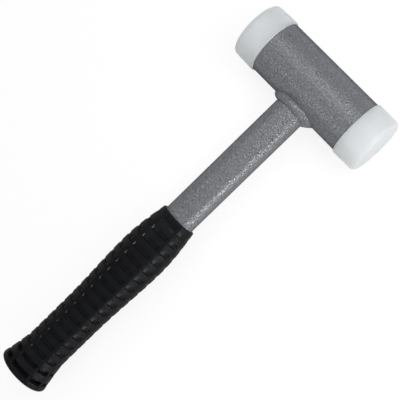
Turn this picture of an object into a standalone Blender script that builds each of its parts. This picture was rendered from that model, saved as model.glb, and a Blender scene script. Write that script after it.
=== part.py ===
"""Dead blow hammer: tubular steel head with nylon faces and loose shot, tubular shaft and rubber grip.

Metres, +Z up. The hammer lies on its side on a floor at Z = 0. The head's axis runs along X and the
handle runs from the head along -Y. It rests on its two faces and on the flange of the grip, so the
handle dips a little towards its end.

Inside the hammer's own frame the origin is where the head's axis crosses the handle's axis.
"""
import math

import bmesh
import bpy
from mathutils import Vector

# Fits
CLEARANCE = 0.0003              # between a piece and the piece that it seats on

# Head tube
TUBE_DIAMETER = 0.0380
TUBE_WALL = 0.0030
TUBE_LENGTH = 0.0723

# Striking faces, each one a nylon plug with a shoulder against the tube's end
FACE_DIAMETER = 0.0400          # at the shoulder
FACE_LENGTH = 0.01705           # from the shoulder to the striking surface
FACE_DRAFT = 0.0003             # fall of the radius from the shoulder to the edge
FACE_SHOULDER_ROUND = 0.0009
FACE_EDGE_ROUND = 0.0022
SPIGOT_LENGTH = 0.0130
SPIGOT_CHAMFER = 0.0008

# Shot chamber
DISC_THICKNESS = 0.0030
SHOT_ROUND = 10                 # balls that would go once round the tube's bore
SHOT_END_PLAY = 0.0040          # least free length left in the chamber
SHOT_FILL = 0.70                # height of the charge as a share of the tube's bore

# Shaft and weld
SHAFT_DIAMETER = 0.0220
SHAFT_WALL = 0.0020
WELD_TOP_HEAD_LEG = 0.0010      # along the head tube's surface, above and below the shaft
WELD_TOP_SHAFT_LEG = 0.0048     # along the shaft, above and below it
WELD_TOP_CROWN = 0.0021         # rise of the bead there over the straight line between its toes
WELD_SIDE_HEAD_LEG = 0.0046     # the same three at the shaft's sides
WELD_SIDE_SHAFT_LEG = 0.0036
WELD_SIDE_CROWN = 0.0009

# Grip, with wall thicknesses over the shaft
GRIP_START = 0.1178             # from the head's axis to the grip's upper end
GRIP_LENGTH = 0.1413
GRIP_END_WALL = 0.0050
GRIP_MOUTH_ROUND = 0.0006
GRIP_EDGE_ROUND = 0.0019        # of the flange, at the grip's end
COLLAR_WALL = 0.0017
BELLY_WALL = 0.0048
BELLY_AT = 0.0329               # from the grip's upper end
BELLY_FALL = 0.0611             # length over which the belly falls to the waist
WAIST_WALL = 0.0030
FLARE_LENGTH = 0.0210
FLANGE_WALL = 0.0065
SWELL_POWER = 1.3               # bends the belly's fall and the flare

# Grip pockets, in rows along the grip with webs between the columns
FIRST_POCKET = 0.0060           # from the grip's upper end to the first row's deepest line
POCKET_PITCH = 0.00767
POCKET_RAMP = 0.0025            # gentle slope on the head side of the deepest line
POCKET_STEP = 0.0009            # steep slope on the other side
POCKET_DEPTH = 0.0007
FIRST_POCKET_DEPTH = 0.00035
FLARE_POCKET_DEPTH = 0.0016     # the last two rows, cut into the flare
WEB_WIDTH = 0.0014
WEB_SLOPE = 0.0008              # run of a pocket's end wall, beside a web
TOP_WEB_ANGLE = 28.0            # degrees either way from the middle of the top and bottom columns
SIDE_WEB_ANGLE = 65.0
GRIP_TURN = 5.0                 # degrees about the handle's axis, from +Z towards +X

# Mesh fineness
HEAD_SEGMENTS = 48
SHAFT_SEGMENTS = 48
ROUND_STEPS = 4
WELD_STEPS = 6
COLUMN_STEP = 16.0              # degrees, largest step across a pocket
SMOOTH_ANGLE = math.radians(35.0)

# Sizes that follow from the ones above
TUBE_RADIUS = TUBE_DIAMETER / 2
BORE_RADIUS = TUBE_RADIUS - TUBE_WALL
FIT_RADIUS = BORE_RADIUS - CLEARANCE
FACE_SEAT = TUBE_LENGTH / 2 + CLEARANCE
DISC_OUTSIDE = FACE_SEAT - SPIGOT_LENGTH - CLEARANCE
DISC_INSIDE = DISC_OUTSIDE - DISC_THICKNESS
SHOT_STEP = math.sin(math.pi / SHOT_ROUND)
SHOT_DIAMETER = (2 * SHOT_STEP * FIT_RADIUS - CLEARANCE) / (1 + SHOT_STEP)
SHOT_PITCH = SHOT_DIAMETER + CLEARANCE
SHAFT_RADIUS = SHAFT_DIAMETER / 2
SLEEVE_RADIUS = SHAFT_RADIUS + CLEARANCE
SHAFT_END = GRIP_START + GRIP_LENGTH - GRIP_END_WALL - CLEARANCE
FLANGE_AT = GRIP_LENGTH - GRIP_EDGE_ROUND
FLARE_AT = FLANGE_AT - FLARE_LENGTH
FLANGE_RADIUS = SLEEVE_RADIUS + FLANGE_WALL


def clear_scene():
    for obj in list(bpy.data.objects):
        bpy.data.objects.remove(obj, do_unlink=True)


def finish(name, colour, roughness, metallic):
    """A plain material in the piece's colour."""
    material = bpy.data.materials.new(name)
    material.use_nodes = True
    shader = material.node_tree.nodes["Principled BSDF"]
    shader.inputs["Base Color"].default_value = (*colour, 1.0)
    shader.inputs["Roughness"].default_value = roughness
    shader.inputs["Metallic"].default_value = metallic
    return material


def frame_point(name, parent=None):
    """An empty that carries pieces."""
    empty = bpy.data.objects.new(name, None)
    bpy.context.scene.collection.objects.link(empty)
    empty.parent = parent
    return empty


def place(name, mesh, material, parent, location=(0.0, 0.0, 0.0), turn=0.0):
    """One piece, at a location in its parent's frame, turned about Z."""
    if not mesh.materials:
        mesh.materials.append(material)
    piece = bpy.data.objects.new(name, mesh)
    bpy.context.scene.collection.objects.link(piece)
    piece.parent = parent
    piece.location = location
    piece.rotation_euler = (0.0, 0.0, turn)
    return piece


def skin(name, rings, looped):
    """A closed mesh through rings of points, which either loop round to the first or end in flat caps."""
    build = bmesh.new()
    loops = [[build.verts.new(point) for point in ring] for ring in rings]
    pairs = list(zip(loops, loops[1:]))
    if looped:
        pairs.append((loops[-1], loops[0]))
    else:
        build.faces.new(loops[0])
        build.faces.new(loops[-1])
    for ring, following in pairs:
        count = len(ring)
        for index in range(count):
            after = (index + 1) % count
            build.faces.new((ring[index], ring[after], following[after], following[index]))
    bmesh.ops.recalc_face_normals(build, faces=build.faces)
    mesh = bpy.data.meshes.new(name)
    build.to_mesh(mesh)
    build.free()
    mesh.shade_smooth()
    mesh.set_sharp_from_angle(angle=SMOOTH_ANGLE)
    return mesh


def turn_angles(segments):
    return [2 * math.pi * step / segments for step in range(segments)]


def head_ring(along, radius):
    """Points round the head's axis."""
    return [Vector((along, radius * math.cos(angle), radius * math.sin(angle)))
            for angle in turn_angles(HEAD_SEGMENTS)]


def handle_point(down, radius, angle):
    """A point at a distance down the handle, at an angle from +Z towards +X about its axis."""
    return Vector((radius * math.sin(angle), -down, radius * math.cos(angle)))


def round_corner(centre, radius, start, end):
    """Points (along, radius) on a corner's arc, in degrees from the axis direction."""
    along, out = centre
    angles = [math.radians(start + (end - start) * step / ROUND_STEPS) for step in range(ROUND_STEPS + 1)]
    return [(along + radius * math.cos(angle), out + radius * math.sin(angle)) for angle in angles]


def head_tube_mesh():
    half = TUBE_LENGTH / 2
    outline = [(-half, TUBE_RADIUS), (half, TUBE_RADIUS), (half, BORE_RADIUS), (-half, BORE_RADIUS)]
    return skin("head_tube", [head_ring(*point) for point in outline], looped=True)


def face_mesh():
    """A face along +X, with its shoulder at X = 0 and its spigot behind it."""
    shoulder = FACE_DIAMETER / 2
    edge = shoulder - FACE_DRAFT
    outline = [(-SPIGOT_LENGTH, FIT_RADIUS - SPIGOT_CHAMFER), (-SPIGOT_LENGTH + SPIGOT_CHAMFER, FIT_RADIUS),
               (0.0, FIT_RADIUS)]
    shoulder_centre = (FACE_SHOULDER_ROUND, shoulder - FACE_SHOULDER_ROUND)
    edge_centre = (FACE_LENGTH - FACE_EDGE_ROUND, edge - FACE_EDGE_ROUND)
    outline += round_corner(shoulder_centre, FACE_SHOULDER_ROUND, 180, 90)
    outline += round_corner(edge_centre, FACE_EDGE_ROUND, 90, 0)
    return skin("face", [head_ring(*point) for point in outline], looped=False)


def disc_mesh():
    """A chamber disc along +X, with its chamber side at X = 0."""
    rings = [head_ring(0.0, FIT_RADIUS), head_ring(DISC_THICKNESS, FIT_RADIUS)]
    return skin("chamber_disc", rings, looped=False)


def head_surface(radius, angle):
    """How far down the handle the head tube's outside lies, at a radius and angle about the handle."""
    return math.sqrt((TUBE_RADIUS + CLEARANCE) ** 2 - (radius * math.cos(angle)) ** 2)


def shaft_mesh():
    """A tube whose upper end is cut to sit round the head tube."""
    bore = SHAFT_RADIUS - SHAFT_WALL
    angles = turn_angles(SHAFT_SEGMENTS)
    rings = [[handle_point(SHAFT_END, SHAFT_RADIUS, angle) for angle in angles],
             [handle_point(head_surface(SHAFT_RADIUS, angle), SHAFT_RADIUS, angle) for angle in angles],
             [handle_point(head_surface(bore, angle), bore, angle) for angle in angles],
             [handle_point(SHAFT_END, bore, angle) for angle in angles]]
    return skin("shaft_tube", rings, looped=True)


def weld_section(angle):
    """Points (radius, down) round the bead's section at one angle about the handle's axis."""
    side = math.sin(angle) ** 2
    head_leg = WELD_TOP_HEAD_LEG + (WELD_SIDE_HEAD_LEG - WELD_TOP_HEAD_LEG) * side
    shaft_leg = WELD_TOP_SHAFT_LEG + (WELD_SIDE_SHAFT_LEG - WELD_TOP_SHAFT_LEG) * side
    crown = WELD_TOP_CROWN + (WELD_SIDE_CROWN - WELD_TOP_CROWN) * side
    root_down = head_surface(SLEEVE_RADIUS, angle)
    slope = SLEEVE_RADIUS * math.cos(angle) ** 2 / root_down
    head_toe = SLEEVE_RADIUS + head_leg / math.sqrt(1 + slope ** 2)
    start = Vector((SLEEVE_RADIUS, root_down + shaft_leg))
    end = Vector((head_toe, head_surface(head_toe, angle)))
    chord = end - start
    outward = Vector((-chord.y, chord.x)).normalized()
    section = [Vector((SLEEVE_RADIUS, root_down)), start]
    for step in range(1, WELD_STEPS):
        share = step / WELD_STEPS
        section.append(start + chord * share + outward * crown * math.sin(math.pi * share))
    return section + [end]


def weld_mesh():
    sections = [weld_section(angle) for angle in turn_angles(SHAFT_SEGMENTS)]
    rings = []
    for index in range(len(sections[0])):
        rings.append([handle_point(section[index].y, section[index].x, angle)
                      for section, angle in zip(sections, turn_angles(SHAFT_SEGMENTS))])
    return skin("weld_bead", rings, looped=True)


def grip_wall(down):
    """The grip's thickness over the shaft, at a distance from its upper end."""
    if down >= FLARE_AT:
        share = (down - FLARE_AT) / FLARE_LENGTH
        return WAIST_WALL + (FLANGE_WALL - WAIST_WALL) * share ** SWELL_POWER
    if down < BELLY_AT:
        return COLLAR_WALL + (BELLY_WALL - COLLAR_WALL) * math.sin(math.pi / 2 * down / BELLY_AT)
    share = min((down - BELLY_AT) / BELLY_FALL, 1.0)
    fall = (1 + math.cos(math.pi * share)) / 2
    return WAIST_WALL + (BELLY_WALL - WAIST_WALL) * fall ** SWELL_POWER


def grip_columns():
    """Angles round the grip, each with whether a pocket's floor lies there."""
    middle_radius = SLEEVE_RADIUS + WAIST_WALL
    web = math.degrees(WEB_WIDTH / 2 / middle_radius)
    slope = math.degrees(WEB_SLOPE / middle_radius)
    webs = [TOP_WEB_ANGLE, SIDE_WEB_ANGLE, 180 - SIDE_WEB_ANGLE, 180 - TOP_WEB_ANGLE]
    webs += [angle + 180 for angle in webs]
    columns = []
    for index, start in enumerate(webs):
        end = webs[index + 1] if index + 1 < len(webs) else webs[0] + 360
        low = start + web + slope
        high = end - web - slope
        steps = math.ceil((high - low) / COLUMN_STEP)
        floor = [low + (high - low) * step / steps for step in range(steps + 1)]
        columns.append((start + web, False))
        columns += [(angle, True) for angle in floor]
        columns.append((end - web, False))
    return [(math.radians(angle + GRIP_TURN), pocket) for angle, pocket in columns]


def pocket_rows():
    """Distance of each row's deepest line from the grip's upper end, and its depth."""
    room = FLANGE_AT - POCKET_STEP - FIRST_POCKET
    count = math.floor(room / POCKET_PITCH) + 1
    rows = []
    for row in range(count):
        depth = POCKET_DEPTH
        if row == 0:
            depth = FIRST_POCKET_DEPTH
        elif row >= count - 2:
            depth = FLARE_POCKET_DEPTH
        rows.append((FIRST_POCKET + row * POCKET_PITCH, depth))
    return rows


def grip_mesh():
    """A blind sleeve: its bore, its mouth, the outside with its pockets, then the flange and the end."""
    columns = grip_columns()

    def ring(down, radius, depth=0.0):
        return [handle_point(GRIP_START + down, radius - (depth if pocket else 0.0), angle)
                for angle, pocket in columns]

    rings = [ring(GRIP_LENGTH - GRIP_END_WALL, SLEEVE_RADIUS), ring(0.0, SLEEVE_RADIUS)]
    mouth = SLEEVE_RADIUS + grip_wall(GRIP_MOUTH_ROUND)
    rings += [ring(0.0, mouth - GRIP_MOUTH_ROUND), ring(GRIP_MOUTH_ROUND, mouth)]
    for deepest, depth in pocket_rows():
        for down, cut in ((deepest - POCKET_RAMP, 0.0), (deepest, depth), (deepest + POCKET_STEP, 0.0)):
            rings.append(ring(down, SLEEVE_RADIUS + grip_wall(down), cut))
    flange = round_corner((FLANGE_AT, FLANGE_RADIUS - GRIP_EDGE_ROUND), GRIP_EDGE_ROUND, 90, 0)
    rings += [ring(*point) for point in flange]
    return skin("grip", rings, looped=False)


def shot_mesh():
    build = bmesh.new()
    bmesh.ops.create_icosphere(build, subdivisions=2, radius=SHOT_DIAMETER / 2)
    mesh = bpy.data.meshes.new("steel_shot")
    build.to_mesh(mesh)
    build.free()
    mesh.shade_smooth()
    return mesh


def shot_slice():
    """Ball centres (Y, Z) across the chamber: rings from the wall inwards, up to the fill height."""
    fill = (2 * SHOT_FILL - 1) * BORE_RADIUS
    radius = FIT_RADIUS - SHOT_DIAMETER / 2
    count = SHOT_ROUND
    centres = []
    while count > 1:
        for index in range(count):
            angle = 2 * math.pi * index / count - math.pi / 2
            centres.append((radius * math.cos(angle), radius * math.sin(angle)))
        radius -= SHOT_PITCH
        room = radius >= SHOT_PITCH / 2
        count = math.floor(math.pi / math.asin(SHOT_PITCH / 2 / radius)) if room else 0
    return [(across, height) for across, height in centres if height <= fill]


def shot_places():
    """Ball centres in slices along the chamber, with the charge in its middle."""
    slices = math.floor((2 * DISC_INSIDE - SHOT_END_PLAY) / SHOT_PITCH)
    first = -(slices - 1) * SHOT_PITCH / 2
    return [(first + index * SHOT_PITCH, across, height)
            for index in range(slices) for across, height in shot_slice()]


def dip():
    """Angle by which the handle dips, so that the flange lies on the same floor as the faces."""
    reach = GRIP_START + FLANGE_AT
    slant = math.hypot(reach, FLANGE_RADIUS)
    return math.asin(FACE_DIAMETER / 2 / slant) - math.atan2(FLANGE_RADIUS, reach)


def stand_on_floor(hammer):
    """Move the hammer so that its box stands on Z = 0 with its middle over the origin."""
    bpy.context.view_layer.update()
    corners = [piece.matrix_world @ vertex.co
               for piece in bpy.data.objects if piece.type == 'MESH' for vertex in piece.data.vertices]
    low = Vector([min(corner[axis] for corner in corners) for axis in range(3)])
    high = Vector([max(corner[axis] for corner in corners) for axis in range(3)])
    hammer.location -= Vector(((low.x + high.x) / 2, (low.y + high.y) / 2, low.z))


def main():
    clear_scene()
    paint = finish("hammer_finish_paint", (0.17, 0.17, 0.18), 0.38, 0.5)
    nylon = finish("white_nylon", (0.72, 0.75, 0.73), 0.45, 0.0)
    steel = finish("bare_steel", (0.45, 0.45, 0.46), 0.35, 1.0)
    rubber = finish("black_rubber", (0.010, 0.010, 0.011), 0.5, 0.0)

    hammer = frame_point("hammer")
    hammer.rotation_euler = (dip(), 0.0, 0.0)
    charge = frame_point("shot_charge", hammer)

    place("head_tube", head_tube_mesh(), paint, hammer)
    face = face_mesh()
    disc = disc_mesh()
    for end, side, turn in (("front", 1, 0.0), ("rear", -1, math.pi)):
        place(end + "_face", face, nylon, hammer, (side * FACE_SEAT, 0.0, 0.0), turn)
        place(end + "_chamber_disc", disc, steel, hammer, (side * DISC_INSIDE, 0.0, 0.0), turn)
    place("shaft_tube", shaft_mesh(), paint, hammer)
    place("weld_bead", weld_mesh(), paint, hammer)
    place("grip", grip_mesh(), rubber, hammer)
    ball = shot_mesh()
    for number, centre in enumerate(shot_places(), start=1):
        place(f"steel_shot_{number:02d}", ball, steel, charge, centre)
    stand_on_floor(hammer)


main()
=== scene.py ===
"""The look of the dead blow hammer: hammer-finish paint, turned nylon, moulded rubber and bare steel.

Metres, +Z up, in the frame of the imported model. The pieces are modelled in the hammer's own frame: its
origin is where the head's axis crosses the handle's axis, +X runs along the head and -Y down the handle.
Angles about the handle are counted from +Z towards +X.
"""
import math

import bmesh
import bpy
from mathutils import Matrix, Vector, noise

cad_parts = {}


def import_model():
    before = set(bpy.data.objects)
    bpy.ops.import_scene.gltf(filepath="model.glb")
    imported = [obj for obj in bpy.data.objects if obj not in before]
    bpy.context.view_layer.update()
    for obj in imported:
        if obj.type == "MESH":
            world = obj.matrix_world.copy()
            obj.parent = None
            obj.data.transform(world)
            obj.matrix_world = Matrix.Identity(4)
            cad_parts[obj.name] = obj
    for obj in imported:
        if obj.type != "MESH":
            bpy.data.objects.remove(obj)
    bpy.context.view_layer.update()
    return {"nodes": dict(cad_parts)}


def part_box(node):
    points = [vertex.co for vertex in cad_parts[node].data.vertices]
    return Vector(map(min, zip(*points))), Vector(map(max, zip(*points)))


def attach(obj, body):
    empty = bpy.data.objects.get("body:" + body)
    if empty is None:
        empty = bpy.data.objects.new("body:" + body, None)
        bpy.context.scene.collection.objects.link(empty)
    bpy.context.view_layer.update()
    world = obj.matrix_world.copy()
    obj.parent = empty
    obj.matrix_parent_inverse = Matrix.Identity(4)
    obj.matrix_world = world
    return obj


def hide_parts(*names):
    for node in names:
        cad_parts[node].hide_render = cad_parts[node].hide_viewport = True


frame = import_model()

# Sizes read from the frame
TUBE_LOW, TUBE_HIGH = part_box("head_tube")
HEAD_CENTRE = (TUBE_LOW + TUBE_HIGH) / 2
TUBE_HALF = (TUBE_HIGH.x - TUBE_LOW.x) / 2
TUBE_RADIUS = (TUBE_HIGH.z - TUBE_LOW.z) / 2
FACE_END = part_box("front_face")[1].x
FACE_RADIUS = HEAD_CENTRE.z
SHAFT_RADIUS = (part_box("shaft_tube")[1].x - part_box("shaft_tube")[0].x) / 2
FLANGE_RADIUS = (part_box("grip")[1].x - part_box("grip")[0].x) / 2

# Head
TUBE_WALL = 0.0030
TUBE_EDGE = 0.0004              # broken edge of the tube's ends, under the paint
FACE_DRAFT = 0.0003             # fall of a face's radius from its shoulder to its edge
FACE_SHOULDER_ROUND = 0.0009
FACE_EDGE_ROUND = 0.0030
SPIGOT_LENGTH = 0.0130
SPIGOT_CHAMFER = 0.0008
FACE_RINGS = 10                 # rings across the flat of a striking face

# Shaft and weld
SHAFT_WALL = 0.0020
SUNK = 0.0003                   # how far fused metal reaches into its neighbour
WELD_TOP_HEAD_LEG = 0.0005      # along the head tube's surface, above and below the shaft
WELD_TOP_SHAFT_LEG = 0.0054
WELD_TOP_CROWN = 0.0021         # rise over the straight line between the bead's two toes
WELD_SIDE_HEAD_LEG = 0.0052     # mean of the shaft's two sides
WELD_SIDE_SHAFT_LEG = 0.0024
WELD_SIDE_CROWN = 0.0006
WELD_FRONT_GAIN = 0.0006        # extra leg on the front face's side, and as much less on the other
WELD_FRONT_SPREAD = 0.0022      # where the beads of both passes meet, on the front face's side
WELD_SPREAD_POWER = 16          # how closely that spread keeps to the very side
WELD_REAR_CROWN = 0.0004        # extra crown on the rear face's side
WELD_ROUNDNESS = 0.62           # below 1 the bead is steeper at its toes
WELD_RIPPLE = 0.00007
WELD_RIPPLES = 44               # ripples once round the shaft
WELD_RIPPLE_LAG = 2.2           # radians by which a ripple's ends trail its middle
WELD_WANDER = 0.00022           # uneven width of the bead
WELD_WANDER_SCALE = 3.0         # how often that width changes round the shaft

# Grip
GRIP_START = 0.1178             # from the head's axis to the grip's upper end
GRIP_LENGTH = 0.1413
GRIP_END_WALL = 0.0050
GRIP_MOUTH_ROUND = 0.0006
GRIP_EDGE_ROUND = 0.0019
COLLAR_WALL = 0.0017
BELLY_WALL = 0.0053
BELLY_AT = 0.0329
BELLY_FALL = 0.0611
WAIST_WALL = 0.0035
FLARE_LENGTH = 0.0210
SWELL_POWER = 1.3
FIRST_POCKET = 0.0050           # from the grip's upper end to the middle of the first row
POCKET_PITCH = 0.00767
POCKET_ROWS = 18
POCKET_FLOOR = 0.0024           # flat of a pocket along the grip
UPPER_SLOPE = 0.00022           # run of its long wall on the head's side
LOWER_SLOPE = 0.00060           # run of its other long wall
POCKET_DEPTH = 0.0010
FIRST_POCKET_DEPTH = 0.0002
WEB_WIDTH = 0.0021
WEB_SLOPE = 0.00041             # run of a pocket's end wall
TOP_WEB_ANGLE = 29.5            # degrees either way from the middle of the top and bottom columns
RIGHT_WEB_ANGLE = 67.5          # the same, of the webs beside the column on the front face's side
LEFT_WEB_ANGLE = 61.0           # and on the rear face's side
GRIP_TURN = 2.5                 # degrees about the handle's axis
FLATNESS = 0.3                  # of all columns but those at the sides: 0 is round, 1 is flat
BEND = 0.12                     # share of a wall's run that is bent, at each of its ends
POCKET_GRAIN = 0.02             # strength of the rubber's grain in the pocket rows, 1 on the pads
GRAIN_FADE = 0.0003             # either way from a pocket's end, along the grip
WALL_SHARE = 0.05               # least share of a pocket's depth that a face of its end wall falls
WALL_FALL = 0.00005             # and the least fall in metres
PAD_COAT = 0.165                # shine of the rubber
WALL_COAT = 0.6                 # and of the pockets' end walls, which the mould leaves smoother

# Camera, in the hammer's frame
CAMERA_LENS = 91.14             # millimetres, on Blender's 36 mm sensor
CAMERA_PLACE = Vector((0.1387, -0.0341, 0.6147))
CAMERA_AIM = Vector((0.0003, -0.0998, 0.0))
PICTURE_UP = 137.03             # degrees from +X towards +Y, the direction that is up in the picture

# Mesh fineness
HEAD_SEGMENTS = 192
SHAFT_SEGMENTS = 160
WELD_SEGMENTS = 288
WELD_STEPS = 20
ROUND_STEPS = 8
SLOPE_STEPS = 6
COLUMN_STEP = 5.0               # degrees, largest step across a pocket
SMOOTH_ANGLE = math.radians(40.0)

# Sizes that follow from the ones above
BORE_RADIUS = TUBE_RADIUS - TUBE_WALL
FACE_LENGTH = FACE_END - TUBE_HALF
FLANGE_AT = GRIP_LENGTH - GRIP_EDGE_ROUND
FLARE_AT = FLANGE_AT - FLARE_LENGTH
FLANGE_WALL = FLANGE_RADIUS - SHAFT_RADIUS
FLANGE_REACH = GRIP_START + FLANGE_AT
HANDLE_DIP = (math.asin(FACE_RADIUS / math.hypot(FLANGE_REACH, FLANGE_RADIUS))
              - math.atan2(FLANGE_RADIUS, FLANGE_REACH))
DIPPED = Matrix.Rotation(HANDLE_DIP, 4, 'X')


# Meshes

def skin(name, rings, looped):
    """A closed mesh through rings of points, which either loop round to the first or end in flat caps."""
    count = len(rings[0])
    points = [point for ring in rings for point in ring]
    faces = []
    for low in range(len(rings) if looped else len(rings) - 1):
        high = (low + 1) % len(rings)
        for index in range(count):
            after = (index + 1) % count
            faces.append((low * count + index, low * count + after,
                          high * count + after, high * count + index))
    if not looped:
        faces.append(range(count))
        faces.append(range(len(points) - count, len(points)))
    mesh = bpy.data.meshes.new(name)
    mesh.from_pydata(points, [], faces)
    build = bmesh.new()
    build.from_mesh(mesh)
    bmesh.ops.recalc_face_normals(build, faces=build.faces)
    build.to_mesh(mesh)
    build.free()
    mesh.shade_smooth()
    mesh.set_sharp_from_angle(angle=SMOOTH_ANGLE)
    return mesh


def piece(name, mesh, material, slot, *nodes):
    """A piece of the hammer in place of CAD nodes. Its object sits at the head's middle."""
    mesh.transform(DIPPED)
    mesh.materials.append(material)
    obj = bpy.data.objects.new(name, mesh)
    bpy.context.scene.collection.objects.link(obj)
    obj.location = HEAD_CENTRE
    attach(obj, "hammer")
    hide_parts(*nodes)
    return obj


def turn_angles(segments):
    return [2 * math.pi * step / segments for step in range(segments)]


def head_ring(along, radius):
    """Points round the head's axis."""
    return [Vector((along, radius * math.cos(angle), radius * math.sin(angle)))
            for angle in turn_angles(HEAD_SEGMENTS)]


def handle_point(down, radius, angle):
    """A point at a distance down the handle, at an angle about its axis."""
    return Vector((radius * math.sin(angle), -down, radius * math.cos(angle)))


def round_corner(centre, radius, start, end):
    """Points (along, radius) on a corner's arc, in degrees from the axis direction."""
    along, out = centre
    angles = [math.radians(mix(start, end, step / ROUND_STEPS)) for step in range(ROUND_STEPS + 1)]
    return [(along + radius * math.cos(angle), out + radius * math.sin(angle)) for angle in angles]


def ease(share):
    """From 0 to 1 in a straight line with bent ends."""
    share = min(max(share, 0.0), 1.0)
    near = min(share, 1 - share)
    rise = near ** 2 / (2 * BEND * (1 - BEND)) if near < BEND else (near - BEND / 2) / (1 - BEND)
    return rise if share < 0.5 else 1 - rise


def mix(low, high, share):
    return low + (high - low) * share


# Head and faces

def head_tube_mesh():
    half = TUBE_HALF
    outline = [(-half, BORE_RADIUS), (-half, TUBE_RADIUS - TUBE_EDGE), (-half + TUBE_EDGE, TUBE_RADIUS),
               (half - TUBE_EDGE, TUBE_RADIUS), (half, TUBE_RADIUS - TUBE_EDGE), (half, BORE_RADIUS)]
    return skin("head_tube", [head_ring(*point) for point in outline], looped=True)


def face_mesh(side):
    """A nylon face with its shoulder against the tube's end, on the side of +X (1) or -X (-1)."""
    edge = FACE_RADIUS - FACE_DRAFT
    flat = edge - FACE_EDGE_ROUND
    shoulder = (FACE_SHOULDER_ROUND, FACE_RADIUS - FACE_SHOULDER_ROUND)
    outline = [(-SPIGOT_LENGTH, BORE_RADIUS - SPIGOT_CHAMFER),
               (-SPIGOT_LENGTH + SPIGOT_CHAMFER, BORE_RADIUS), (0.0, BORE_RADIUS)]
    outline += round_corner(shoulder, FACE_SHOULDER_ROUND, 180, 90)
    outline += round_corner((FACE_LENGTH - FACE_EDGE_ROUND, flat), FACE_EDGE_ROUND, 90, 0)
    outline += [(FACE_LENGTH, flat * (1 - step / FACE_RINGS)) for step in range(1, FACE_RINGS)]
    rings = [head_ring(side * (TUBE_HALF + along), radius) for along, radius in outline]
    return skin("face", rings, looped=False)


# Shaft and weld

def head_surface(radius, angle):
    """How far down the handle the head tube's outside lies, at a radius and angle about the handle."""
    return math.sqrt(TUBE_RADIUS ** 2 - (radius * math.cos(angle)) ** 2)


def shaft_mesh():
    """A tube that is fused to the head and ends inside the grip."""
    bore = SHAFT_RADIUS - SHAFT_WALL
    end = GRIP_START + GRIP_LENGTH - GRIP_END_WALL
    angles = turn_angles(SHAFT_SEGMENTS)

    def fused_end(radius):
        return [handle_point(head_surface(radius, angle) - SUNK, radius, angle) for angle in angles]

    def plain_end(radius):
        return [handle_point(end, radius, angle) for angle in angles]

    rings = [plain_end(SHAFT_RADIUS), fused_end(SHAFT_RADIUS), fused_end(bore), plain_end(bore)]
    return skin("shaft_tube", rings, looped=True)


def weld_section(angle):
    """Points (radius, down) round the bead's section at one angle about the handle's axis."""
    side = math.sin(angle) ** 2
    front = math.sin(angle) * side
    round_shaft = Vector((math.sin(angle), math.cos(angle), 0.0))
    wander = WELD_WANDER * noise.noise(WELD_WANDER_SCALE * round_shaft)
    overlap = WELD_FRONT_SPREAD * max(math.sin(angle), 0.0) ** WELD_SPREAD_POWER
    head_leg = mix(WELD_TOP_HEAD_LEG, WELD_SIDE_HEAD_LEG, side) + WELD_FRONT_GAIN * front + wander
    shaft_leg = mix(WELD_TOP_SHAFT_LEG, WELD_SIDE_SHAFT_LEG, side) + overlap - wander
    crown = mix(WELD_TOP_CROWN, WELD_SIDE_CROWN, side) - WELD_REAR_CROWN * front
    root_down = head_surface(SHAFT_RADIUS, angle)
    slope = SHAFT_RADIUS * math.cos(angle) ** 2 / root_down
    head_toe = SHAFT_RADIUS + head_leg / math.sqrt(1 + slope ** 2)
    start = Vector((SHAFT_RADIUS, root_down + shaft_leg))
    end = Vector((head_toe, head_surface(head_toe, angle)))
    chord = end - start
    outward = Vector((-chord.y, chord.x)).normalized()
    section = [Vector((SHAFT_RADIUS - SUNK, root_down - SUNK)), start - Vector((SUNK, 0.0))]
    for step in range(WELD_STEPS + 1):
        share = step / WELD_STEPS
        bulge = (4 * share * (1 - share)) ** WELD_ROUNDNESS
        lag = WELD_RIPPLE_LAG * (2 * share - 1) ** 2
        ripple = WELD_RIPPLE * bulge * math.sin(WELD_RIPPLES * angle + lag)
        section.append(start + chord * share + outward * (crown * bulge + ripple))
    return section + [end - Vector((0.0, SUNK))]


def weld_mesh():
    lines = [[handle_point(down, radius, angle) for radius, down in weld_section(angle)]
             for angle in turn_angles(WELD_SEGMENTS)]
    return skin("weld_bead", list(zip(*lines)), looped=True)


# Grip

def grip_wall(down):
    """The grip's thickness over the shaft, at a distance from its upper end."""
    if down >= FLARE_AT:
        share = (down - FLARE_AT) / FLARE_LENGTH
        return mix(WAIST_WALL, FLANGE_WALL, share ** SWELL_POWER)
    if down < BELLY_AT:
        return mix(COLLAR_WALL, BELLY_WALL, math.sin(math.pi / 2 * down / BELLY_AT))
    share = min((down - BELLY_AT) / BELLY_FALL, 1.0)
    fall = (1 + math.cos(math.pi * share)) / 2
    return mix(WAIST_WALL, BELLY_WALL, fall ** SWELL_POWER)


def slope_steps(start, run):
    """Places from start to the end of a wall's run."""
    return [start + run * step / SLOPE_STEPS for step in range(SLOPE_STEPS + 1)]


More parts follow.
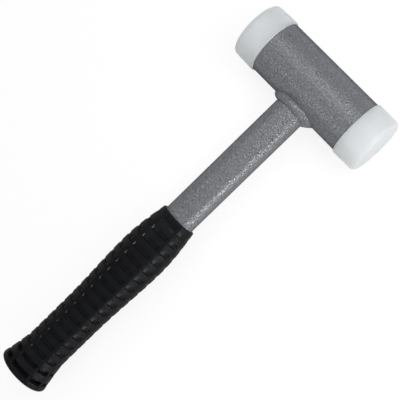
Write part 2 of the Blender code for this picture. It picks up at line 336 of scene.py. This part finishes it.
def grip_columns():
    """Angles round the grip, each with two shares: of a pocket's depth that is cut there, and of the radius
    that is left where the grip is slightly flat."""
    middle_radius = SHAFT_RADIUS + (WAIST_WALL + BELLY_WALL) / 2
    web = math.degrees(WEB_WIDTH / 2 / middle_radius)
    slope = math.degrees(WEB_SLOPE / middle_radius)
    webs = [TOP_WEB_ANGLE, RIGHT_WEB_ANGLE, 180 - RIGHT_WEB_ANGLE, 180 - TOP_WEB_ANGLE]
    webs += [180 + TOP_WEB_ANGLE, 180 + LEFT_WEB_ANGLE, 360 - LEFT_WEB_ANGLE, 360 - TOP_WEB_ANGLE]
    columns = []
    for index, (start, end) in enumerate(zip(webs, webs[1:] + [webs[0] + 360])):
        flatness = 0.0 if index % 4 == 1 else FLATNESS
        low = start + web + slope
        high = end - web - slope
        steps = math.ceil((high - low) / COLUMN_STEP)
        cuts = [(start, 0.0)]
        cuts += [(angle, ease((angle - start - web) / slope)) for angle in slope_steps(start + web, slope)]
        cuts += [(mix(low, high, step / steps), 1.0) for step in range(1, steps)]
        cuts += [(angle, ease((end - web - angle) / slope)) for angle in slope_steps(high, slope)]
        half = math.radians((end - start) / 2)
        middle = math.radians((start + end) / 2)
        for angle, cut in cuts:
            flat = math.cos(half) / math.cos(math.radians(angle) - middle)
            columns.append((math.radians(angle + GRIP_TURN), cut, mix(1.0, flat, flatness)))
    return columns


def pocket_depth(row, down):
    """A row's depth at a distance from the grip's upper end. In the flare, its floor keeps to the waist."""
    depth = POCKET_DEPTH if row > 0 else FIRST_POCKET_DEPTH
    if down > FLARE_AT:
        depth += max(grip_wall(down) - WAIST_WALL, 0.0)
    return depth


def mark_end_walls(mesh, columns, rings):
    """Gives the faces of the pockets' end walls the mesh's second material."""
    count = len(columns)
    radii = [[math.hypot(point.x, point.z) for point in ring] for ring in rings]
    for index in range(count):
        after = (index + 1) % count
        if abs(columns[after][1] - columns[index][1]) < WALL_SHARE:
            continue
        falls = [abs(ring[after] - ring[index]) for ring in radii]
        for low in range(len(rings) - 1):
            if min(falls[low], falls[low + 1]) > WALL_FALL:
                mesh.polygons[low * count + index].material_index = 1


def grip_mesh():
    """A blind sleeve: its bore, its mouth, the outside with its pockets, then the flange and the end."""
    columns = grip_columns()

    def ring(down, radius, depth=0.0):
        flared = min(max((down - FLARE_AT) / FLARE_LENGTH, 0.0), 1.0)
        roundness = 1.0 if radius <= SHAFT_RADIUS else flared
        return [handle_point(GRIP_START + down, radius * mix(flat, 1.0, roundness) - depth * cut, angle)
                for angle, cut, flat in columns]

    rings = [ring(GRIP_LENGTH - GRIP_END_WALL, SHAFT_RADIUS), ring(0.0, SHAFT_RADIUS)]
    mouth = SHAFT_RADIUS + grip_wall(GRIP_MOUTH_ROUND)
    corner = round_corner((GRIP_MOUTH_ROUND, mouth - GRIP_MOUTH_ROUND), GRIP_MOUTH_ROUND, 180, 90)
    rings += [ring(*point) for point in corner]
    for row in range(POCKET_ROWS):
        middle = FIRST_POCKET + row * POCKET_PITCH
        top = middle - POCKET_FLOOR / 2 - UPPER_SLOPE
        bottom = middle + POCKET_FLOOR / 2
        for down in slope_steps(top, UPPER_SLOPE):
            cut = pocket_depth(row, down) * ease((down - top) / UPPER_SLOPE)
            rings.append(ring(down, SHAFT_RADIUS + grip_wall(down), cut))
        for down in slope_steps(bottom, LOWER_SLOPE):
            cut = pocket_depth(row, down) * ease((bottom + LOWER_SLOPE - down) / LOWER_SLOPE)
            rings.append(ring(down, SHAFT_RADIUS + grip_wall(down), cut))
        pad = middle + POCKET_PITCH / 2
        rings.append(ring(pad, SHAFT_RADIUS + grip_wall(pad)))
    rings.pop()
    flange = round_corner((FLANGE_AT, FLANGE_RADIUS - GRIP_EDGE_ROUND), GRIP_EDGE_ROUND, 90, 0)
    rings += [ring(*point) for point in flange]
    mesh = skin("grip", rings, looped=False)
    mark_end_walls(mesh, columns, rings)
    return mesh


# Materials

def new_material(name):
    """A material with its node tree and its shader."""
    material = bpy.data.materials.new(name)
    material.use_nodes = True
    return material, material.node_tree, material.node_tree.nodes["Principled BSDF"]


def add(tree, kind, inputs=None, **settings):
    """A node with its own settings and with values on its input sockets."""
    node = tree.nodes.new(kind)
    for name, value in settings.items():
        setattr(node, name, value)
    for name, value in (inputs or {}).items():
        node.inputs[name].default_value = value
    return node


def link(tree, source, output, target, name):
    tree.links.new(source.outputs[output], target.inputs[name])


def spread(tree, source, output, low, high, start, end):
    """Maps a texture's values from start..end to low..high."""
    node = add(tree, "ShaderNodeMapRange",
               {"From Min": start, "From Max": end, "To Min": low, "To Max": high})
    link(tree, source, output, node, "Value")
    return node


def ramp(tree, source, output, *stops):
    """A colour ramp over a value, with stops of a place and a colour."""
    node = add(tree, "ShaderNodeValToRGB")
    elements = node.color_ramp.elements
    while len(elements) < len(stops):
        elements.new(0.5)
    for element, (place, colour) in zip(elements, stops):
        element.position = place
        element.color = (*colour, 1.0)
    link(tree, source, output, node, "Fac")
    return node


def paint_material():
    """Hammer-finish enamel: dimples about a millimetre apart, metal pigment and a few dark pits."""
    material, tree, shader = new_material("hammer_finish_paint")
    shader.inputs["Metallic"].default_value = 0.25
    shader.inputs["Specular IOR Level"].default_value = 0.0
    shader.inputs["Specular Tint"].default_value = (0.1, 0.1, 0.1, 1.0)
    place = add(tree, "ShaderNodeTexCoord")
    speckle = add(tree, "ShaderNodeTexNoise", {"Scale": 1050.0, "Detail": 3.0, "Roughness": 0.6})
    link(tree, place, "Object", speckle, "Vector")
    colour = ramp(tree, speckle, "Fac", (0.28, (0.090, 0.093, 0.098)), (0.42, (0.200, 0.206, 0.216)),
                  (0.58, (0.262, 0.270, 0.283)), (0.72, (0.370, 0.381, 0.399)))
    spots = add(tree, "ShaderNodeTexNoise", {"Scale": 330.0, "Detail": 2.0, "Roughness": 0.5})
    link(tree, place, "Object", spots, "Vector")
    pits = spread(tree, spots, "Fac", low=0.5, high=1.0, start=0.24, end=0.31)
    pitted = add(tree, "ShaderNodeVectorMath", operation='SCALE')
    link(tree, colour, "Color", pitted, "Vector")
    link(tree, pits, "Result", pitted, "Scale")
    link(tree, pitted, "Vector", shader, "Base Color")
    gloss = spread(tree, speckle, "Fac", low=0.32, high=0.18, start=0.3, end=0.7)
    link(tree, gloss, "Result", shader, "Roughness")
    dimples = add(tree, "ShaderNodeTexVoronoi", {"Scale": 800.0, "Randomness": 1.0, "Smoothness": 0.5},
                  feature='SMOOTH_F1')
    link(tree, place, "Object", dimples, "Vector")
    bump = add(tree, "ShaderNodeBump", {"Strength": 1.0, "Distance": 0.00024})
    link(tree, dimples, "Distance", bump, "Height")
    link(tree, bump, "Normal", shader, "Normal")
    return material


def nylon_material():
    """Turned white nylon: light goes into it, its skin is dull, and the tool left fine rings."""
    material, tree, shader = new_material("white_nylon")
    shader.subsurface_method = 'BURLEY'
    shader.inputs["Subsurface Weight"].default_value = 1.0
    shader.inputs["Subsurface Radius"].default_value = (1.0, 0.95, 0.9)
    shader.inputs["Subsurface Scale"].default_value = 0.035
    shader.inputs["IOR"].default_value = 1.5
    shader.inputs["Sheen Weight"].default_value = 0.8
    shader.inputs["Sheen Roughness"].default_value = 0.9
    place = add(tree, "ShaderNodeTexCoord")
    clouds = add(tree, "ShaderNodeTexNoise", {"Scale": 90.0, "Detail": 3.0, "Roughness": 0.55})
    link(tree, place, "Object", clouds, "Vector")
    colour = ramp(tree, clouds, "Fac", (0.3, (0.687, 0.720, 0.727)), (0.7, (0.715, 0.749, 0.758)))
    link(tree, colour, "Color", shader, "Base Color")
    gloss = spread(tree, clouds, "Fac", low=0.32, high=0.44, start=0.3, end=0.7)
    link(tree, gloss, "Result", shader, "Roughness")
    across = add(tree, "ShaderNodeSeparateXYZ")
    link(tree, place, "Object", across, "Vector")
    out = add(tree, "ShaderNodeVectorMath", {1: (0.0, 1.0, 1.0)}, operation='MULTIPLY')
    link(tree, place, "Object", out, "Vector")
    radius = add(tree, "ShaderNodeVectorMath", operation='LENGTH')
    link(tree, out, "Vector", radius, "Vector")
    turned = add(tree, "ShaderNodeMath", operation='ADD')
    link(tree, across, "X", turned, 0)
    link(tree, radius, "Value", turned, 1)
    rings = add(tree, "ShaderNodeTexNoise", {"Scale": 5200.0, "Detail": 2.0, "Roughness": 0.6},
                noise_dimensions='1D')
    link(tree, turned, "Value", rings, "W")
    bump = add(tree, "ShaderNodeBump", {"Strength": 0.10, "Distance": 0.00005})
    link(tree, rings, "Fac", bump, "Height")
    link(tree, bump, "Normal", shader, "Normal")
    return material


def rubber_material(name, coat):
    """Moulded black rubber of a given shine, with a fine grain on its pads and smooth pockets."""
    material, tree, shader = new_material(name)
    shader.inputs["Specular IOR Level"].default_value = 0.0
    shader.inputs["Coat Weight"].default_value = coat
    shader.inputs["Coat Roughness"].default_value = 0.20
    place = add(tree, "ShaderNodeTexCoord")
    clouds = add(tree, "ShaderNodeTexNoise", {"Scale": 120.0, "Detail": 4.0, "Roughness": 0.6})
    link(tree, place, "Object", clouds, "Vector")
    colour = ramp(tree, clouds, "Fac", (0.35, (0.0088, 0.0091, 0.0100)), (0.70, (0.0118, 0.0122, 0.0135)))
    link(tree, colour, "Color", shader, "Base Color")
    gloss = spread(tree, clouds, "Fac", low=0.30, high=0.38, start=0.3, end=0.7)
    link(tree, gloss, "Result", shader, "Roughness")
    grain = add(tree, "ShaderNodeTexNoise", {"Scale": 3200.0, "Detail": 2.0, "Roughness": 0.5})
    link(tree, place, "Object", grain, "Vector")
    down_handle = DIPPED @ Vector((0.0, -1.0, 0.0))
    down = add(tree, "ShaderNodeVectorMath", {1: down_handle}, operation='DOT_PRODUCT')
    link(tree, place, "Object", down, 0)
    first = add(tree, "ShaderNodeMath", {1: GRIP_START + FIRST_POCKET}, operation='SUBTRACT')
    link(tree, down, "Value", first, 0)
    row = add(tree, "ShaderNodeMath", {1: POCKET_PITCH / 2}, operation='PINGPONG')
    link(tree, first, "Value", row, 0)
    pocket_end = POCKET_FLOOR / 2 + LOWER_SLOPE
    strength = spread(tree, row, "Value", low=POCKET_GRAIN, high=1.0,
                      start=pocket_end - GRAIN_FADE, end=pocket_end + GRAIN_FADE)
    bump = add(tree, "ShaderNodeBump", {"Distance": 0.00012})
    link(tree, strength, "Result", bump, "Strength")
    link(tree, grain, "Fac", bump, "Height")
    link(tree, bump, "Normal", shader, "Normal")
    link(tree, bump, "Normal", shader, "Coat Normal")
    return material


def steel_material():
    """Plain steel, lightly stained, for what is sealed in the head."""
    material, tree, shader = new_material("bare_steel")
    shader.inputs["Metallic"].default_value = 1.0
    place = add(tree, "ShaderNodeTexCoord")
    stain = add(tree, "ShaderNodeTexNoise", {"Scale": 350.0, "Detail": 5.0, "Roughness": 0.6})
    link(tree, place, "Object", stain, "Vector")
    colour = ramp(tree, stain, "Fac", (0.35, (0.36, 0.35, 0.34)), (0.65, (0.50, 0.50, 0.51)))
    link(tree, colour, "Color", shader, "Base Color")
    gloss = spread(tree, stain, "Fac", low=0.22, high=0.42, start=0.3, end=0.7)
    link(tree, gloss, "Result", shader, "Roughness")
    scratches = add(tree, "ShaderNodeTexNoise", {"Scale": 2400.0, "Detail": 2.0})
    link(tree, place, "Object", scratches, "Vector")
    bump = add(tree, "ShaderNodeBump", {"Strength": 0.08, "Distance": 0.00005})
    link(tree, scratches, "Fac", bump, "Height")
    link(tree, bump, "Normal", shader, "Normal")
    return material


# Stage

FLOOR_SIZE = 60.0
FLOOR_COLOUR = (0.60, 0.60, 0.60)
FLOOR_GLOW = 0.84               # white that the picture's rays see, on top of the lit floor
FLOOR_SHARE = 0.36              # share of the lit floor, with its shadow, in the picture
WORLD_COLOUR = (0.95, 0.97, 1.0)
WORLD_STRENGTH = 0.28


def floor_material():
    """A pale floor that the camera and reflections see as white with the hammer's faint shadow."""
    material = bpy.data.materials.new("floor")
    material.use_nodes = True
    tree = material.node_tree
    tree.nodes.clear()
    lit = add(tree, "ShaderNodeBsdfDiffuse", {"Color": (*FLOOR_COLOUR, 1.0)})
    faint_colour = [FLOOR_SHARE * part for part in FLOOR_COLOUR]
    faint = add(tree, "ShaderNodeBsdfDiffuse", {"Color": (*faint_colour, 1.0)})
    glow = add(tree, "ShaderNodeEmission", {"Color": (1.0, 1.0, 1.0, 1.0), "Strength": FLOOR_GLOW})
    white = add(tree, "ShaderNodeAddShader")
    link(tree, faint, "BSDF", white, 0)
    link(tree, glow, "Emission", white, 1)
    path = add(tree, "ShaderNodeLightPath")
    seen = add(tree, "ShaderNodeMath", operation='MAXIMUM')
    link(tree, path, "Is Camera Ray", seen, 0)
    link(tree, path, "Is Glossy Ray", seen, 1)
    either = add(tree, "ShaderNodeMath", operation='MAXIMUM')
    link(tree, seen, "Value", either, 0)
    link(tree, path, "Is Transmission Ray", either, 1)
    mixed = add(tree, "ShaderNodeMixShader")
    link(tree, either, "Value", mixed, "Fac")
    link(tree, lit, "BSDF", mixed, 1)
    link(tree, white, "Shader", mixed, 2)
    output = add(tree, "ShaderNodeOutputMaterial")
    link(tree, mixed, "Shader", output, "Surface")
    return material


def floor():
    half = FLOOR_SIZE / 2
    mesh = bpy.data.meshes.new("floor")
    mesh.from_pydata([(-half, -half, 0.0), (half, -half, 0.0), (half, half, 0.0), (-half, half, 0.0)], [],
                     [(0, 1, 2, 3)])
    mesh.materials.append(floor_material())
    obj = bpy.data.objects.new("floor", mesh)
    bpy.context.scene.collection.objects.link(obj)


def world():
    sky = bpy.data.worlds.new("studio")
    sky.use_nodes = True
    background = sky.node_tree.nodes["Background"]
    background.inputs["Color"].default_value = (*WORLD_COLOUR, 1.0)
    background.inputs["Strength"].default_value = WORLD_STRENGTH
    bpy.context.scene.world = sky


def softbox(name, azimuth, elevation, distance, wide, tall, power):
    """A lamp that faces the handle's middle, from degrees about +Z from +X and above the floor."""
    lamp = bpy.data.lights.new(name, 'AREA')
    lamp.shape = 'RECTANGLE'
    lamp.size = wide
    lamp.size_y = tall
    lamp.energy = power
    obj = bpy.data.objects.new(name, lamp)
    bpy.context.scene.collection.objects.link(obj)
    turn, rise = math.radians(azimuth), math.radians(elevation)
    out = Vector((math.cos(rise) * math.cos(turn), math.cos(rise) * math.sin(turn), math.sin(rise)))
    obj.location = out * distance
    obj.rotation_euler = out.to_track_quat('Z', 'Y').to_euler()


def camera():
    """The photograph's view, fitted in the hammer's frame."""
    lens = bpy.data.cameras.new("camera")
    lens.lens = CAMERA_LENS
    obj = bpy.data.objects.new("camera", lens)
    bpy.context.scene.collection.objects.link(obj)
    turn = math.radians(PICTURE_UP)
    back = (CAMERA_PLACE - CAMERA_AIM).normalized()
    right = Vector((math.cos(turn), math.sin(turn), 0.0)).cross(back).normalized()
    up = back.cross(right)
    facing = Matrix((right, up, back)).transposed().to_4x4()
    obj.matrix_world = Matrix.Translation(HEAD_CENTRE) @ DIPPED @ Matrix.Translation(CAMERA_PLACE) @ facing
    bpy.context.scene.camera = obj


def main():
    paint = paint_material()
    nylon = nylon_material()
    rubber = rubber_material("black_rubber", PAD_COAT)
    wall_rubber = rubber_material("black_rubber_end_walls", WALL_COAT)
    steel = steel_material()

    piece("painted_head_tube", head_tube_mesh(), paint, "hammer_finish_paint", "head_tube")
    piece("painted_shaft", shaft_mesh(), paint, "hammer_finish_paint", "shaft_tube")
    piece("painted_weld", weld_mesh(), paint, "hammer_finish_paint", "weld_bead")
    piece("nylon_front_face", face_mesh(1), nylon, "white_nylon", "front_face")
    piece("nylon_rear_face", face_mesh(-1), nylon, "white_nylon", "rear_face")
    grip = piece("rubber_grip", grip_mesh(), rubber, "black_rubber", "grip")
    grip.data.materials.append(wall_rubber)
    for name, node in frame["nodes"].items():
        if name.startswith("steel_shot") or name.endswith("chamber_disc"):
            node.data.materials.clear()
            node.data.materials.append(steel)

    floor()
    world()
    softbox("strip", azimuth=-7.5, elevation=11.0, distance=0.6, wide=0.42, tall=0.085, power=1.30)
    softbox("near", azimuth=56.0, elevation=50.0, distance=0.42, wide=0.25, tall=0.25, power=0.50)
    softbox("front", azimuth=-90.0, elevation=42.0, distance=1.0, wide=0.45, tall=0.45, power=1.15)
    softbox("back", azimuth=90.0, elevation=63.0, distance=1.0, wide=0.7, tall=0.7, power=1.05)
    softbox("rear", azimuth=152.0, elevation=52.0, distance=1.1, wide=0.8, tall=0.8, power=2.3)
    camera()
    bpy.context.scene.view_settings.view_transform = 'Standard'


main()
